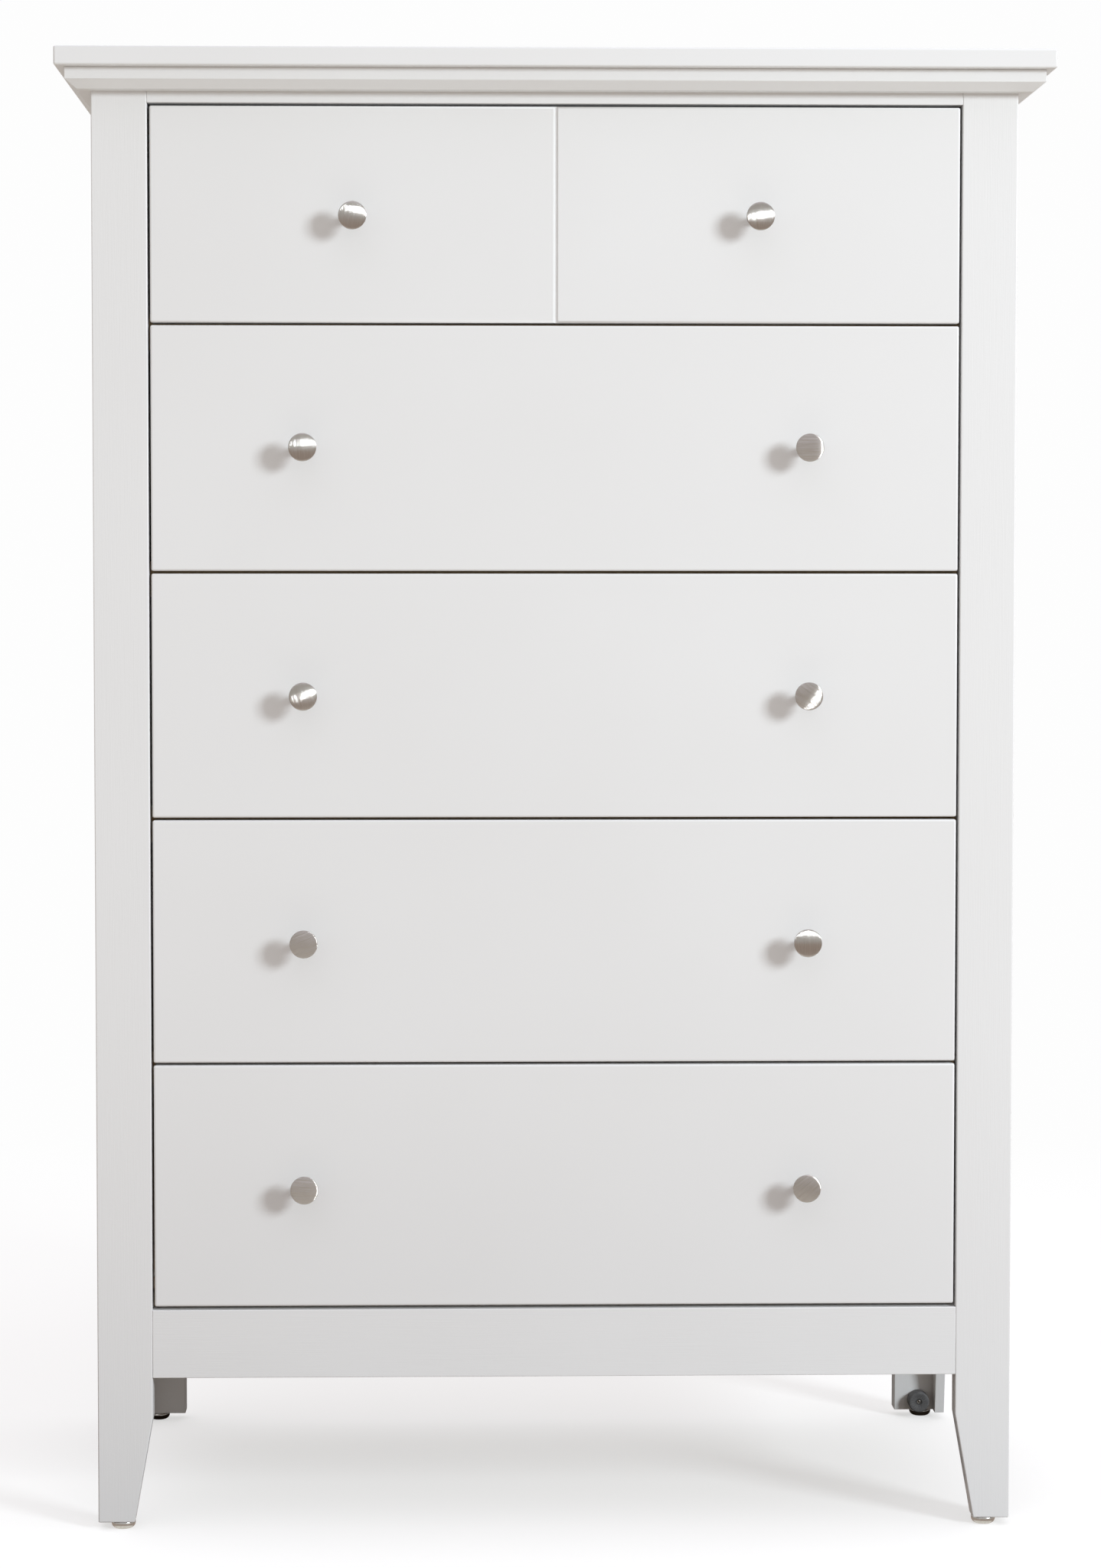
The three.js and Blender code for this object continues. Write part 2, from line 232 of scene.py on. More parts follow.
# ---- node trees ----
class Term:
    """A socket in a node tree. Arithmetic on values adds Math nodes."""

    def __init__(self, tree, socket=None):
        self.tree = tree
        self.socket = socket

    def add(self, kind, settings=None, inputs=None, output=0):
        """A new node: first its settings, then its sockets. A list links several terms to one socket."""
        node = self.tree.nodes.new(kind)
        for name, value in (settings or {}).items():
            setattr(node, name, value)
        for name, value in (inputs or {}).items():
            terms = value if isinstance(value, list) else [value]
            for term in terms:
                if isinstance(term, Term):
                    self.tree.links.new(term.socket, node.inputs[name])
                else:
                    node.inputs[name].default_value = term
        return Term(self.tree, node.outputs[output] if node.outputs else None)

    def maths(self, operation, *values):
        return self.add("ShaderNodeMath", {"operation": operation}, dict(enumerate(values)))

    def __add__(self, other):
        return self.maths("ADD", self, other)

    def __sub__(self, other):
        return self.maths("SUBTRACT", self, other)

    def __rsub__(self, other):
        return self.maths("SUBTRACT", other, self)

    def __mul__(self, other):
        return self.maths("MULTIPLY", self, other)

    def __truediv__(self, other):
        return self.maths("DIVIDE", self, other)

    def __rtruediv__(self, other):
        return self.maths("DIVIDE", other, self)

    def __pow__(self, other):
        return self.maths("POWER", self, other)

    __radd__ = __add__
    __rmul__ = __mul__

    def within(self, low, high):
        """0 up to low, 1 from high, and straight between them."""
        sockets = {"Value": self, "From Min": low, "From Max": high}
        return self.add("ShaderNodeMapRange", {"clamp": True}, sockets)

    def tint(self, first, second):
        """A colour that goes from the first to the second as this value goes from 0 to 1."""
        ends = [c if isinstance(c, Term) else (*c, 1) for c in (first, second)]
        return self.add("ShaderNodeMix", {"data_type": "RGBA"}, {0: self, 6: ends[0], 7: ends[1]}, 2)

    def scaled(self, *scale, centre=(0, 0, 0), turn=(0, 0, 0)):
        """These coordinates about a centre, turned, and divided by a size on each axis."""
        sockets = {"Vector": self, "Location": centre, "Rotation": turn, "Scale": scale}
        return self.add("ShaderNodeMapping", {"vector_type": "TEXTURE"}, sockets)

    def noise(self, size, detail=2.0, roughness=0.5, distortion=0.0):
        """Noise from 0 to 1, with patches of about that size, on these coordinates."""
        sockets = {
            "Vector": self,
            "Scale": 1 / size,
            "Detail": detail,
            "Roughness": roughness,
            "Distortion": distortion,
        }
        return self.add("ShaderNodeTexNoise", None, sockets)

    def cells(self, size, output="Distance"):
        return self.add("ShaderNodeTexVoronoi", None, {"Vector": self, "Scale": 1 / size}, output)

    def bump(self, height):
        """A surface raised by this value times a height."""
        return self.add("ShaderNodeBump", None, {"Height": self, "Distance": height, "Strength": 1.0})

    def axes(self):
        """The X, Y and Z of these coordinates."""
        split = self.add("ShaderNodeSeparateXYZ", None, {"Vector": self}).socket.node
        return [Term(self.tree, socket) for socket in split.outputs]


def finish(name, look, fixed=None):
    """A material. Its look takes the object's coordinates and gives what changes over the surface."""
    material = bpy.data.materials.new(name)
    material.use_nodes = True
    tree = material.node_tree
    tree.nodes.clear()
    start = Term(tree)
    place = start.add("ShaderNodeTexCoord", output="Object")
    shader = start.add("ShaderNodeBsdfPrincipled", None, {**(fixed or {}), **look(place)})
    start.add("ShaderNodeOutputMaterial", None, {"Surface": shader})
    return material


# ---- finishes ----
WHITE, WHITE_SHADE = (0.822, 0.824, 0.825), (0.804, 0.804, 0.803)
BACKGROUND = (0.985, 0.985, 0.985)


def lacquer(place, grain=None):
    """Satin white lacquer, with a little orange peel, and with faint grain where solid wood is under it."""
    drift = place.noise(0.22, 2).within(0.3, 0.7)
    mist = place.noise(4 * MM, 3)
    peel = place.noise(1.6 * MM, 2)
    height = peel * 0.5 + mist * 0.3
    if grain is not None:
        size = [1.1 * MM] * 3
        size[grain] = 45 * MM
        pores = place.scaled(*size).noise(1, 3, 0.6, 0.4)
        height = height + pores * 2.2
        drift = drift * 0.7 + pores.within(0.35, 0.7) * 0.3
    return {
        "Base Color": drift.tint(WHITE_SHADE, WHITE),
        "Roughness": 0.36 + 0.1 * mist,
        "Normal": height.bump(0.035 * MM),
    }


def timber(place, grain, pale, dark, ring):
    """Solid wood: growth rings round an axis beyond the board, with short pores along the grain."""
    axes = place.axes()
    first, second = [axis for i, axis in enumerate(axes) if i != grain]
    size = [30 * MM] * 3
    size[grain] = 400 * MM
    wander = place.scaled(*size).noise(1, 3, 0.55) * (9 * MM)
    far = (first - 0.41) ** 2 + (second + 0.33) ** 2
    radius = far.maths("SQRT", far) + wander
    rings = (radius / ring).maths("FRACT", radius / ring)
    late = rings.within(0.25, 0.95) ** 2
    size = [0.5 * MM] * 3
    size[grain] = 14 * MM
    pores = place.scaled(*size).noise(1, 2, 0.6)
    size = [9 * MM] * 3
    size[grain] = 160 * MM
    streak = place.scaled(*size).noise(1, 3, 0.6).within(0.3, 0.7)
    mask = late * 0.45 + pores.within(0.45, 0.75) * 0.25 + streak * 0.3
    return {
        "Base Color": mask.tint(pale, dark),
        "Roughness": 0.56 + 0.16 * pores,
        "Normal": (pores * 0.7 + late * 0.3).bump(0.09 * MM),
    }


BIRCH_PALE, BIRCH_DARK = (0.74, 0.58, 0.385), (0.56, 0.385, 0.215)
PINE_PALE, PINE_DARK = (0.72, 0.545, 0.33), (0.5, 0.315, 0.15)


def fibre(place):
    """Pressed brown hardboard, smooth, with short dark and pale fibres."""
    strands = place.scaled(1.0 * MM, 1.0 * MM, 6 * MM).noise(1, 4, 0.7, 1.2)
    flecks = place.cells(3.2 * MM).within(0.05, 0.3)
    cloud = place.noise(0.15, 3).within(0.3, 0.7)
    mask = strands.within(0.3, 0.7) * 0.55 + cloud * 0.3 + (1 - flecks) * 0.15
    return {
        "Base Color": mask.tint((0.36, 0.225, 0.125), (0.22, 0.125, 0.062)),
        "Roughness": 0.62 + 0.2 * strands,
        "Normal": (strands + flecks * 0.2).bump(0.08 * MM),
    }


def zinc(place):
    """Bright zinc on rolled steel, with faint spangle and rolling lines along Y."""
    grey = place.cells(7 * MM).within(0.1, 0.6)
    lines = place.scaled(0.6 * MM, 60 * MM, 0.6 * MM).noise(1, 3, 0.6)
    return {
        "Base Color": (grey * 0.6 + lines * 0.4).tint((0.66, 0.68, 0.7), (0.54, 0.56, 0.58)),
        "Roughness": 0.26 + 0.2 * grey * lines + 0.06 * lines,
        "Normal": (lines + grey * 0.2).bump(0.02 * MM),
    }


def brushed(place, centre, turn):
    """Nickel brushed in straight lines over a knob's face, which lean the surface only across themselves."""
    along = {"centre": centre, "turn": (0, turn, 0)}
    lines = place.scaled(0.03 * MM, 9 * MM, 25 * MM, **along).noise(1, 0)
    broad = place.scaled(0.7 * MM, 9 * MM, 20 * MM, **along).noise(1, 3, 0.6)
    streaks = (lines * 0.5 + broad * 0.5).within(0.25, 0.75)
    most_lines, most_broad = 2.4, 0.15
    lean = (lines - 0.5) * most_lines + (broad - 0.5) * most_broad
    across_lines = (cos(turn), 0.0, -sin(turn))
    lean = place.add("ShaderNodeVectorMath", {"operation": "SCALE"}, {0: across_lines, "Scale": lean})
    surface = place.add("ShaderNodeNewGeometry", output="Normal")
    leaning = place.add("ShaderNodeVectorMath", {"operation": "ADD"}, {0: surface, 1: lean})
    return {
        "Base Color": streaks.tint((0.47, 0.44, 0.41), (0.57, 0.545, 0.52)),
        "Roughness": 0.16 + 0.05 * broad,
        "Normal": place.add("ShaderNodeVectorMath", {"operation": "NORMALIZE"}, {0: leaning}),
    }


def plated(place):
    """Bright nickel plating with a few handling marks."""
    marks = place.noise(2 * MM, 4, 0.7)
    return {
        "Base Color": marks.within(0.35, 0.65).tint((0.7, 0.69, 0.67), (0.6, 0.585, 0.56)),
        "Roughness": 0.12 + 0.18 * marks,
        "Normal": marks.bump(0.03 * MM),
    }


def moulded(place, colour, shade):
    """Moulded rubber or nylon, finely pitted."""
    pits = place.noise(0.5 * MM, 3, 0.6)
    cloud = place.noise(5 * MM, 2).within(0.3, 0.7)
    return {
        "Base Color": (cloud * 0.6 + pits * 0.4).tint(colour, shade),
        "Roughness": 0.5 + 0.3 * pits,
        "Normal": pits.bump(0.05 * MM),
    }


def pale_floor(place):
    """A pale floor that glows a little, and runs out into the white of the room."""
    fade_from, fade_to = 0.75, 1.9
    distance = place.add("ShaderNodeVectorMath", {"operation": "LENGTH"}, {0: place}, "Value")
    far = distance.within(fade_from, fade_to)
    cloud = place.noise(0.6, 3).within(0.2, 0.8)
    near = cloud.tint((0.48, 0.477, 0.47), (0.46, 0.457, 0.45))
    return {
        "Base Color": far.tint(near, (0, 0, 0)),
        "Emission Color": far.tint((0.59, 0.59, 0.59), BACKGROUND),
        "Roughness": 0.7 + 0.1 * cloud,
    }


def painted_shade_mat(place):
    """A dark sheet of painted shade for the floor under the chest, with a faint mottle, and paler towards the
    right as painted light.
    """
    shade_mottle = place.noise(3 * MM, 2)
    dark = shade_mottle.tint((0.25, 0.195, 0.15), (0.21, 0.16, 0.125))
    # Painted light: the sheet grows paler towards the right, so the chest's lower right gets more light from
    # below.
    side = place.axes()[0].within(-0.4, 0.5)
    return {"Base Color": side.tint(dark, (0.36, 0.32, 0.28)), "Roughness": 0.8 + 0.1 * shade_mottle}


X, Y, Z = range(3)
METAL = {"Metallic": 1.0}
LACQUER = finish("white_lacquer", lacquer)
LACQUER_X = finish("white_lacquer_grain_across", lambda place: lacquer(place, X))
LACQUER_Z = finish("white_lacquer_grain_up", lambda place: lacquer(place, Z))
BIRCH_X = finish("birch_along_x", lambda place: timber(place, X, BIRCH_PALE, BIRCH_DARK, 6.5 * MM))
BIRCH_Y = finish("birch_along_y", lambda place: timber(place, Y, BIRCH_PALE, BIRCH_DARK, 6.5 * MM))
PINE_X = finish("pine_along_x", lambda place: timber(place, X, PINE_PALE, PINE_DARK, 9 * MM))
PINE_Z = finish("pine_upright", lambda place: timber(place, Z, PINE_PALE, PINE_DARK, 9 * MM))
HARDBOARD = finish("hardboard", fibre)
ZINC = finish("zinc_plated_steel", zinc, METAL)
NICKEL = finish("bright_nickel", plated, METAL)
RUBBER = finish("grey_rubber", lambda place: moulded(place, (0.15, 0.15, 0.152), (0.075, 0.075, 0.077)))
NYLON = finish("white_nylon", lambda place: moulded(place, (0.72, 0.71, 0.67), (0.62, 0.61, 0.56)))
# Painted shade: the dark brown of the sheets that stand for the shaded floor under the chest.
PAINTED_SHADE_MAT = finish("painted_shade_mat", painted_shade_mat, {"Specular IOR Level": 0.0})
FLOOR = finish("pale_floor", pale_floor, {"Emission Strength": 1.0, "Specular IOR Level": 0.0})


# ---- geometry node trees for what repeats ----
def new_tree(name, **sizes):
    """A tree with a geometry input, a finish input, and a named input for each size. Gives its inputs."""
    tree = bpy.data.node_groups.new(name, "GeometryNodeTree")
    tree.interface.new_socket("Geometry", in_out="INPUT", socket_type="NodeSocketGeometry")
    tree.interface.new_socket("Finish", in_out="INPUT", socket_type="NodeSocketMaterial")
    for label, value in sizes.items():
        kind = "NodeSocketInt" if isinstance(value, int) else "NodeSocketFloat"
        socket = tree.interface.new_socket(label, in_out="INPUT", socket_type=kind)
        socket.default_value = value
    tree.interface.new_socket("Geometry", in_out="OUTPUT", socket_type="NodeSocketGeometry")
    entry = tree.nodes.new("NodeGroupInput")
    return {socket.name: Term(tree, socket) for socket in entry.outputs if socket.name}


def end_tree(shape, sockets):
    """Makes the shape real, gives it the finish, and sends it to the tree's output."""
    real = shape.add("GeometryNodeRealizeInstances", None, {"Geometry": shape})
    dressed = shape.add("GeometryNodeSetMaterial", None, {"Geometry": real, "Material": sockets["Finish"]})
    shape.add("NodeGroupOutput", None, {"Geometry": dressed})
    return shape.tree


def moved(shape, translation=(0, 0, 0), rotation=(0, 0, 0)):
    sockets = {"Geometry": shape, "Translation": translation, "Rotation": rotation}
    return shape.add("GeometryNodeTransform", None, sockets)


def vector(start, x=0.0, y=0.0, z=0.0):
    return start.add("ShaderNodeCombineXYZ", None, {"X": x, "Y": y, "Z": z})


def on_places(head, sockets):
    """The head on each place of the input, facing the way that the place's aim says, at a random turn."""
    aim = head.add("GeometryNodeInputNamedAttribute", {"data_type": "FLOAT_VECTOR"}, {"Name": "aim"})
    facing = head.add("FunctionNodeAlignRotationToVector", {"axis": "Z"}, {"Vector": aim})
    least, most, chosen = 2, 3, 1  # the sockets of a random value that are for plain numbers
    limits = {least: 0.0, most: sockets["Most Turn"], "Seed": sockets["Seed"]}
    angle = head.add("FunctionNodeRandomValue", {"data_type": "FLOAT"}, limits, chosen)
    spin = head.add("FunctionNodeAxisAngleToRotation", None, {"Axis": (0, 0, 1), "Angle": angle})
    turns = {"Rotation": facing, "Rotate By": spin}
    turned_about = head.add("FunctionNodeRotateRotation", {"rotation_space": "LOCAL"}, turns)
    points = head.add("GeometryNodeMeshToPoints", None, {"Mesh": sockets["Geometry"]})
    placed = {"Points": points, "Instance": head, "Rotation": turned_about}
    return head.add("GeometryNodeInstanceOnPoints", None, placed)


def screw_tree():
    """A screw's head with a cross recess, its underside at the place."""
    chance = {"Most Turn": 2 * pi, "Seed": 4}
    sockets = new_tree("screw_heads", Radius=3.6 * MM, Height=1.6 * MM, Slot=0.9 * MM, **chance)
    radius, height, slot = (sockets[name] for name in ("Radius", "Height", "Slot"))
    rim = {
        "Vertices": 18,
        "Side Segments": 1,
        "Fill Segments": 1,
        "Radius Top": radius,
        "Radius Bottom": radius,
        "Depth": height * 0.45,
    }
    lower = radius.add("GeometryNodeMeshCone", {"fill_type": "NGON"}, rim)
    crown = {**rim, "Radius Top": radius * 0.55, "Depth": height * 0.6}
    upper = radius.add("GeometryNodeMeshCone", {"fill_type": "NGON"}, crown)
    upper = moved(upper, vector(radius, z=height * 0.44))
    bars = []
    for x, y in ((radius * 1.1, slot), (slot, radius * 1.1)):
        bar = radius.add("GeometryNodeMeshCube", None, {"Size": vector(radius, x, y, height)})
        bars.append(moved(bar, vector(radius, z=height)))
    whole = union(lower, upper)
    return end_tree(on_places(difference(whole, *bars), sockets), sockets)


def union(*solids):
    settings = {"operation": "UNION", "solver": "EXACT"}
    return solids[0].add("GeometryNodeMeshBoolean", settings, {"Mesh 2": list(solids)})


def difference(first, *cutters):
    settings = {"operation": "DIFFERENCE", "solver": "EXACT"}
    return first.add("GeometryNodeMeshBoolean", settings, {"Mesh 1": first, "Mesh 2": list(cutters)})


def staple_tree():
    """A staple's crown: a flat wire that dips into the board at both ends."""
    sockets = new_tree("staples", Width=10 * MM, Wire=0.55 * MM, **{"Most Turn": 0.25, "Seed": 7})
    half, wire = sockets["Width"] * 0.5, sockets["Wire"]
    sink = wire * -1.5
    ends = {
        "Resolution": 8,
        "Start": vector(half, half * -1, 0.0, sink),
        "Start Handle": vector(half, half * -1, 0.0, wire * 1.2),
        "End Handle": vector(half, half, 0.0, wire * 1.2),
        "End": vector(half, half, 0.0, sink),
    }
    line = half.add("GeometryNodeCurvePrimitiveBezierSegment", {"mode": "POSITION"}, ends)
    section = half.add("GeometryNodeCurvePrimitiveQuadrilateral", None, {"Width": wire * 2, "Height": wire})
    bar = {"Curve": line, "Profile Curve": section, "Fill Caps": True}
    return end_tree(on_places(half.add("GeometryNodeCurveToMesh", None, bar), sockets), sockets)


def rib_tree():
    """Ribs that run out from the centre of a round face, set out round its axis, which is Z."""
    sockets = new_tree("ribs", Inner=3.2 * MM, Outer=8.6 * MM, Rise=0.5 * MM, Thick=0.8 * MM, Count=18)
    inner, outer, rise, thick = (sockets[name] for name in ("Inner", "Outer", "Rise", "Thick"))
    middle = {"Vertices": sockets["Count"], "Radius": (inner + outer) * 0.5}
    ring = inner.add("GeometryNodeMeshCircle", None, middle)
    bar = inner.add("GeometryNodeMeshCube", None, {"Size": vector(inner, outer - inner, thick, rise * 2)})
    index = inner.add("GeometryNodeInputIndex")
    turn = vector(inner, z=index * 2 * pi / sockets["Count"])
    on_ring = {"Points": ring, "Instance": bar, "Rotation": turn}
    ribs = inner.add("GeometryNodeInstanceOnPoints", None, on_ring)
    real = inner.add("GeometryNodeRealizeInstances", None, {"Geometry": ribs})
    head = inner.add("GeometryNodeGeometryToInstance", None, {"Geometry": real})
    aim = inner.add("GeometryNodeInputNamedAttribute", {"data_type": "FLOAT_VECTOR"}, {"Name": "aim"})
    facing = inner.add("FunctionNodeAlignRotationToVector", {"axis": "Z"}, {"Vector": aim})
    points = inner.add("GeometryNodeMeshToPoints", None, {"Mesh": sockets["Geometry"]})
    placed = {"Points": points, "Instance": head, "Rotation": facing}
    return end_tree(inner.add("GeometryNodeInstanceOnPoints", None, placed), sockets)


def punch_tree():
    """Slotted holes through a strip of steel, in a row along Y."""
    sockets = new_tree("punched_slots", Radius=2.2 * MM, First=0.0, Step=32 * MM, Level=0.0, Count=8)
    radius = sockets["Radius"]
    drill = {"Vertices": 16, "Radius": radius, "Depth": 8 * MM}
    drill = radius.add("GeometryNodeMeshCylinder", {"fill_type": "NGON"}, drill)
    start = vector(radius, 0.0, sockets["First"], sockets["Level"])
    row = {"Count": sockets["Count"], "Start Location": start, "Offset": vector(radius, y=sockets["Step"])}
    row = radius.add("GeometryNodeMeshLine", {"mode": "OFFSET"}, row)
    drills = {"Points": row, "Instance": drill, "Scale": (1.0, 1.8, 1.0)}
    drills = radius.add("GeometryNodeInstanceOnPoints", None, drills)
    drills = radius.add("GeometryNodeRealizeInstances", None, {"Geometry": drills})
    return end_tree(difference(sockets["Geometry"], drills), sockets)


def run_tree(made, tree, finish_of, **sizes):
    """Runs a tree on an object, and leaves the result on it as a plain mesh."""
    modifier = made.modifiers.new("set_out", "NODES")
    modifier.node_group = tree
    inputs = {item.name: item.identifier for item in tree.interface.items_tree if item.in_out == "INPUT"}
    modifier[inputs["Finish"]] = finish_of
    for label, value in sizes.items():
        modifier[inputs[label.replace("_", " ")]] = value
    result = plain_mesh(made)
    made.modifiers.remove(modifier)
    made.data = result
    return made


def set_out(name, tree, places, finish_of, body="case", slot=None, **sizes):
    """A piece made of a tree's shape on each place. A place is a point and the way that the shape faces."""
    mesh = bpy.data.meshes.new(name)
    mesh.from_pydata([point for point, _ in places], [], [])
    aim = mesh.attributes.new("aim", "FLOAT_VECTOR", "POINT")
    aim.data.foreach_set("vector", [value for _, way in places for value in way])
    made = bpy.data.objects.new(name, mesh)
    bpy.context.scene.collection.objects.link(made)
    return settle(run_tree(made, tree, finish_of, **sizes), finish_of, body)


SCREWS, STAPLES, RIBS, PUNCHED = screw_tree(), staple_tree(), rib_tree(), punch_tree()


# ---- the case ----
def top_panel():
    low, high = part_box("top_panel")
    shape = ease(block(low, high), TOP_EASE)
    return piece("top", shape, LACQUER, replaces=["top_panel"])


def moulding_outline():
    """Half of the moulding's section, as (distance out from the case, height), from the frame's own strip."""
    low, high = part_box("top_moulding_front")
    case_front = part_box("front_leg_left")[0].y
    out = case_front - low.y
    bottom, top = low.z, high.z
    chamfer_out, chamfer_up = 9 * MM, 7 * MM
    return [(0, bottom), (out - chamfer_out, bottom), (out, bottom + chamfer_up), (out, top), (0, top)]


def mouldings():
    """Three mitred strips under the top."""
    outline = moulding_outline()
    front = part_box("front_leg_left")[0].y
    back = CAD_HIGH.y
    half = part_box("front_leg_right")[1].x
    ends = [[(sign * (half + out), front - out, height) for out, height in outline] for sign in (-1, 1)]
    strips = {"front": ends}
    for side, sign in SIDES:
        mitre = ends[0] if sign < 0 else ends[1]
        strips[side] = [mitre, [(sign * (half + out), back, height) for out, height in outline]]
    for name, rings in strips.items():
        shape = ease(loft(rings), MOULDING_EASE, segments=2)
        node = "top_moulding_" + name
        piece("moulding_" + name, shape, LACQUER, replaces=[node])


def leg_outline(side, sign, foot_width):
    """A front leg's face: straight outside, and tapered inside towards the foot."""
    low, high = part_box("front_leg_" + side)
    outer, inner = (low.x, high.x) if sign < 0 else (high.x, low.x)
    foot = outer - sign * foot_width
    return [(outer, low.z), (foot, low.z), (inner, TAPER_TOP), (inner, high.z), (outer, high.z)]


def legs():
    foot_width = 30 * MM
    for side, sign in SIDES:
        low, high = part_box("front_leg_" + side)
        shape = prism("y", low.y, high.y, leg_outline(side, sign, foot_width))
        ease(shape, BOARD_EASE, sharpest=40)
        name = "front_leg_" + side
        piece("leg_front_" + side, shape, LACQUER_Z, replaces=[name])
        name = "rear_leg_" + side
        shape = ease(block(*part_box(name)), BOARD_EASE)
        piece("leg_rear_" + side, shape, LACQUER_Z, replaces=[name])


def side_panels():
    """Each side has a foot at both ends, tapered like the front legs."""
    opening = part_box("apron")[0].z
    front_at_floor, front_above = -151.5 * MM, -136 * MM
    rear_at_floor, rear_above = 179.5 * MM, 164 * MM
    for side, _ in SIDES:
        name = "side_panel_" + side
        low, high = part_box(name)
        outline = [
            (low.y, low.z),
            (front_at_floor, low.z),
            (front_above, TAPER_TOP),
            (front_above, opening),
            (rear_above, opening),
            (rear_above, TAPER_TOP),
            (rear_at_floor, low.z),
            (high.y, low.z),
            (high.y, high.z),
            (low.y, high.z),
        ]
        shape = ease(prism("x", low.x, high.x, outline), PANEL_EASE, sharpest=40)
        piece("case_side_" + side, shape, LACQUER_Z, replaces=[name])


def rails():
    for node, name in (("top_front_rail", "top_rail"), ("apron", "apron_board")):
        shape = ease(block(*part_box(node)), PANEL_EASE)
        piece(name, shape, LACQUER_X, replaces=[node])
    for n in list(DRAWERS)[:-1]:
        node = "drawer_rail_%d" % n
        shape = ease(block(*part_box(node)), BOARD_EASE)
        piece("divider_%d" % n, shape, PINE_X, replaces=[node])
    for node in ("bottom_rail", "rear_top_rail", "rear_bottom_rail"):
        shape = ease(block(*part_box(node)), BOARD_EASE)
        piece(node + "_board", shape, PINE_X, replaces=[node])


def corner_blocks():
    """Three-sided glue blocks, each with two screws."""
    leg, width, above_edge = 34 * MM, 26 * MM, 8 * MM
    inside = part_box("side_panel_right")[0].x
    levels = {
        "top_front": (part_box("top_front_rail")[1].y, 1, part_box("top_panel")[0].z - width),
        "top_rear": (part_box("rear_top_rail")[0].y, -1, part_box("top_panel")[0].z - width),
        "low_front": (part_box("apron")[1].y, 1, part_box("apron")[0].z + above_edge),
        "low_rear": (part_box("rear_bottom_rail")[0].y, -1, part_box("rear_bottom_rail")[0].z + above_edge),
    }
    heads = []
    for level, (y, way, z) in levels.items():
        for side, sign in SIDES:
            corner = sign * inside
            outline = [(corner, y), (corner - sign * leg, y), (corner, y + way * leg)]
            shape = ease(prism("z", z, z + width, outline), BOARD_EASE)
            piece("corner_block_%s_%s" % (level, side), shape, PINE_Z)
            for share in (0.35, 0.65):
                point = (corner - sign * leg * share, y + way * leg * (1 - share), z + width / 2)
                heads.append((point, (-sign, way, 0)))
    set_out("corner_block_screws", SCREWS, heads, ZINC, slot="zinc_steel")


def back():
    low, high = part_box("back_panel")
    shape = ease(block(low, high), SHEET_EASE, segments=2)
    piece("back_board", shape, HARDBOARD, replaces=["back_panel"])
    step, inset = 55 * MM, 9 * MM
    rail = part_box("rear_top_rail")
    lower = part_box("rear_bottom_rail")
    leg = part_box("rear_leg_right")[0].x
    across_count = int(2 * (leg - inset) / step)
    heads = []
    for z in ((rail[0].z + rail[1].z) / 2, (lower[0].z + lower[1].z) / 2):
        for i in range(across_count + 1):
            x = (leg - inset) * (2 * i / across_count - 1)
            heads.append(((x, high.y, z), (0, 1, 0)))
    set_out("back_staples", STAPLES, heads, ZINC, slot="zinc_steel")


def glides():
    """Round nickel feet, flat underneath and domed round the edge."""
    bend, chamfer = 4.2 * MM, 0.4 * MM
    for row in ("front", "rear"):
        for side, _ in SIDES:
            node = "foot_glide_%s_%s" % (row, side)
            low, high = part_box(node)
            radius, height = (high.x - low.x) / 2, high.z - low.z
            dome = arc((radius - bend, bend), bend, -82, 0, 8)
            rim = [(radius, height - chamfer), (radius - chamfer, height), (0, height)]
            centre = ((low.x + high.x) / 2, (low.y + high.y) / 2, low.z)
            shape = turned([(0, 0), (radius - bend, 0), *dome, *rim], centre, (0, 0, 1), 40)
            piece("glide_%s_%s" % (row, side), shape, NICKEL, replaces=[node])


def bumper():
    """A rubber stop on the rear leg, held by a screw in its middle."""
    low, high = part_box("rubber_bumper")
    radius, length = (high.x - low.x) / 2, high.y - low.y
    centre = ((low.x + high.x) / 2, high.y, (low.z + high.z) / 2)
    face, bend = length - 0.4 * MM, 1.4 * MM
    hole_top, hole_floor, hole_depth = 3.1 * MM, 2.8 * MM, 1.6 * MM
    profile = [
        (0, 0),
        (radius * 0.94, 0),
        (radius, 1 * MM),
        *arc((radius - bend, face - bend), bend, 0, 90, 5),
        (hole_top, face),
        (hole_floor, face - hole_depth),
        (0, face - hole_depth),
    ]
    shape = turned(profile, centre, (0, -1, 0), 48)
    piece("bumper", shape, RUBBER, replaces=["rubber_bumper"])
    middle = Vector((centre[0], high.y - face, centre[2]))
    set_out("bumper_ribs", RIBS, [(middle, (0, -1, 0))], RUBBER, slot="rubber", Rise=0.2 * MM)
    seat = middle + Vector((0, hole_depth, 0))
    head = {"Radius": 2.5 * MM, "Height": 1.5 * MM}
    set_out("bumper_screw", SCREWS, [(seat, (0, -1, 0))], NICKEL, slot="nickel", **head)


def centre_rails():
    """A folded steel rail for each drawer, with slots in its floor and a screw at each end."""
    for n in DRAWERS:
        node = "centre_rail_%d" % n
        low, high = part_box(node)
        base, lips = 9 * MM, high.x
        right = [
            (base, low.z),
            (base, high.z - STEEL),
            (lips, high.z - STEEL),
            (lips, high.z),
            (base - STEEL, high.z),
            (base - STEEL, low.z + STEEL),
        ]
        outline = right + [(-x, z) for x, z in reversed(right)]
        shape = ease(prism("y", low.y, high.y, outline), SHEET_EASE, segments=2)
        made = object_of("rail_%d" % n, shape)
        run_tree(made, PUNCHED, ZINC, First=low.y + 32 * MM, Step=48 * MM, Level=low.z, Count=7)
        settle(made, ZINC, "case", [node])
        from_end = 12 * MM
        heads = [((0, y, low.z + STEEL), (0, 0, 1)) for y in (low.y + from_end, high.y - from_end)]
        set_out("rail_screws_%d" % n, SCREWS, heads, ZINC, slot="zinc_steel", Radius=3.2 * MM)


